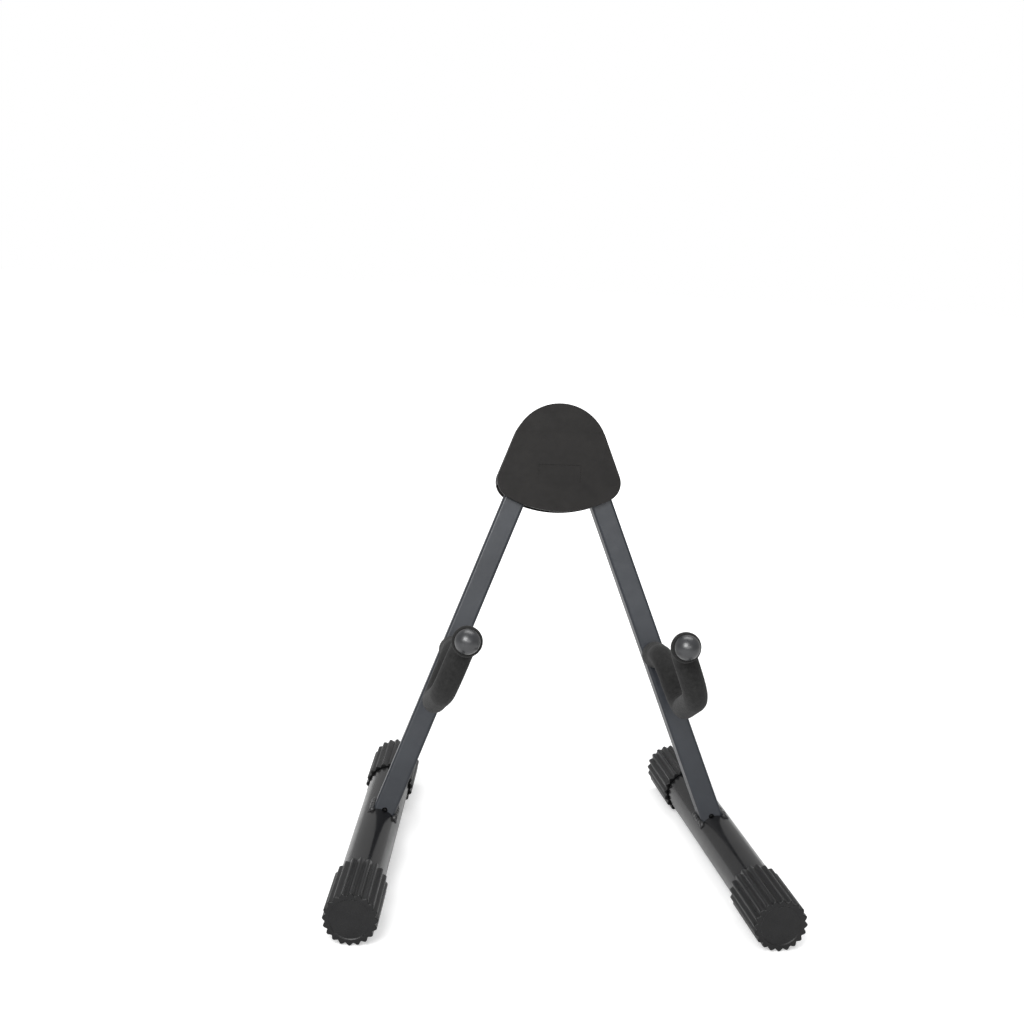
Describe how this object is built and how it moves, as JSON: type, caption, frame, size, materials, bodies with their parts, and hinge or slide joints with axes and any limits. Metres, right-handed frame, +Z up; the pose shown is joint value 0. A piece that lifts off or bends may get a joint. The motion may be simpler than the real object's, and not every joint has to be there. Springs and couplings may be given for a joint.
{
  "type": "french horn stand",
  "caption": "Folding A-frame table-top stand that cradles a French horn in two foam-covered yokes on round feet with ribbed rubber caps.",
  "frame": {"origin": "centre of the stand's bounding box in X and Y, on the surface that it rests on", "axes": "+Z up, -Y towards the front where the yokes open, +X to the right as seen from the front"},
  "size_m": [0.3116, 0.281, 0.3204],
  "materials": {
    "hub_plastic": "satin moulded, fine grain",
    "leg_paint": "satin black powder coat",
    "foot_paint": "gloss black paint",
    "cap_rubber": "moulded, slightly shiny",
    "foam": "matte closed-cell foam",
    "tip_plastic": "satin gloss moulded",
    "black_steel": "black zinc plated",
    "bright_steel": "turned",
    "washer_plastic": "natural nylon"
  },
  "bodies": {
    "hub": {"hub_front_cover": "hub_plastic", "hub_rear_cover": "hub_plastic", "pivot_bolts": "black_steel", "pivot_nuts": "black_steel", "pivot_sleeves": "bright_steel", "friction_washers": "washer_plastic", "cover_screws": "black_steel"},
    "left_leg": {"leg_left": "leg_paint", "foot_tube_left": "foot_paint", "front_cap_left": "cap_rubber", "rear_cap_left": "cap_rubber", "yoke_rod_left": "leg_paint", "yoke_foam_left": "foam", "yoke_tip_left": "tip_plastic", "yoke_washer_left": "black_steel", "yoke_nut_left": "black_steel"},
    "right_leg": {"leg_right": "leg_paint", "foot_tube_right": "foot_paint", "front_cap_right": "cap_rubber", "rear_cap_right": "cap_rubber", "yoke_rod_right": "leg_paint", "yoke_foam_right": "foam", "yoke_tip_right": "tip_plastic", "yoke_washer_right": "black_steel", "yoke_nut_right": "black_steel"}
  },
  "joints": [
    {"name": "left_leg_fold", "type": "hinge", "parent": "hub", "child": "left_leg", "pos_m": [-0.0145, 0.08092, 0.29214], "axis": [0, -0.9659, 0.2588], "range_deg": [0, 19.5]},
    {"name": "right_leg_fold", "type": "hinge", "parent": "hub", "child": "right_leg", "pos_m": [0.0145, 0.08092, 0.29214], "axis": [0, 0.9659, -0.2588], "range_deg": [0, 19.5]}
  ]
}
